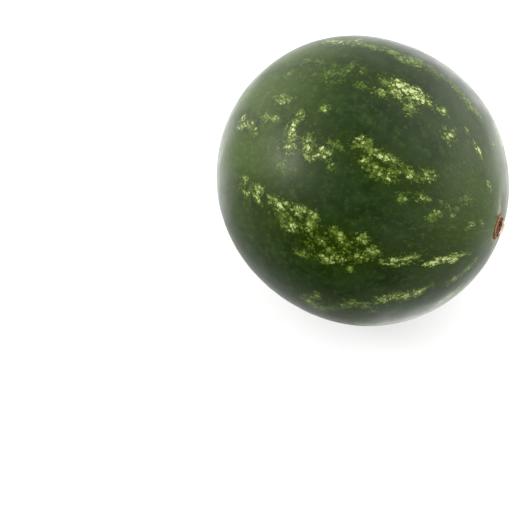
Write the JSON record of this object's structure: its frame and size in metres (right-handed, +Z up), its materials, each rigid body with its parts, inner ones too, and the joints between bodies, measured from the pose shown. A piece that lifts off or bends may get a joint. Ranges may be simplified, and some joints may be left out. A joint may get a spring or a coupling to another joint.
{
  "type": "whole round watermelon",
  "caption": "Whole round watermelon with dark green rind and broken pale stripes, lying on a small flat spot, with a corky stem stump.",
  "frame": {"origin": "centre of the small flat spot that the fruit rests on", "axes": "+Z up, +X level, toward the stem end, -Y toward the side that a viewer sees with the stem at the right"},
  "size_m": [0.2247, 0.2138, 0.2076],
  "materials": {
    "rind": "satin, waxy, dark green with rows of pale flecks",
    "cork": "dry, rough, corky brown with a paler rim"
  },
  "bodies": {
    "root": {"watermelon": "rind", "stem_stump": "cork"}
  },
  "joints": []
}
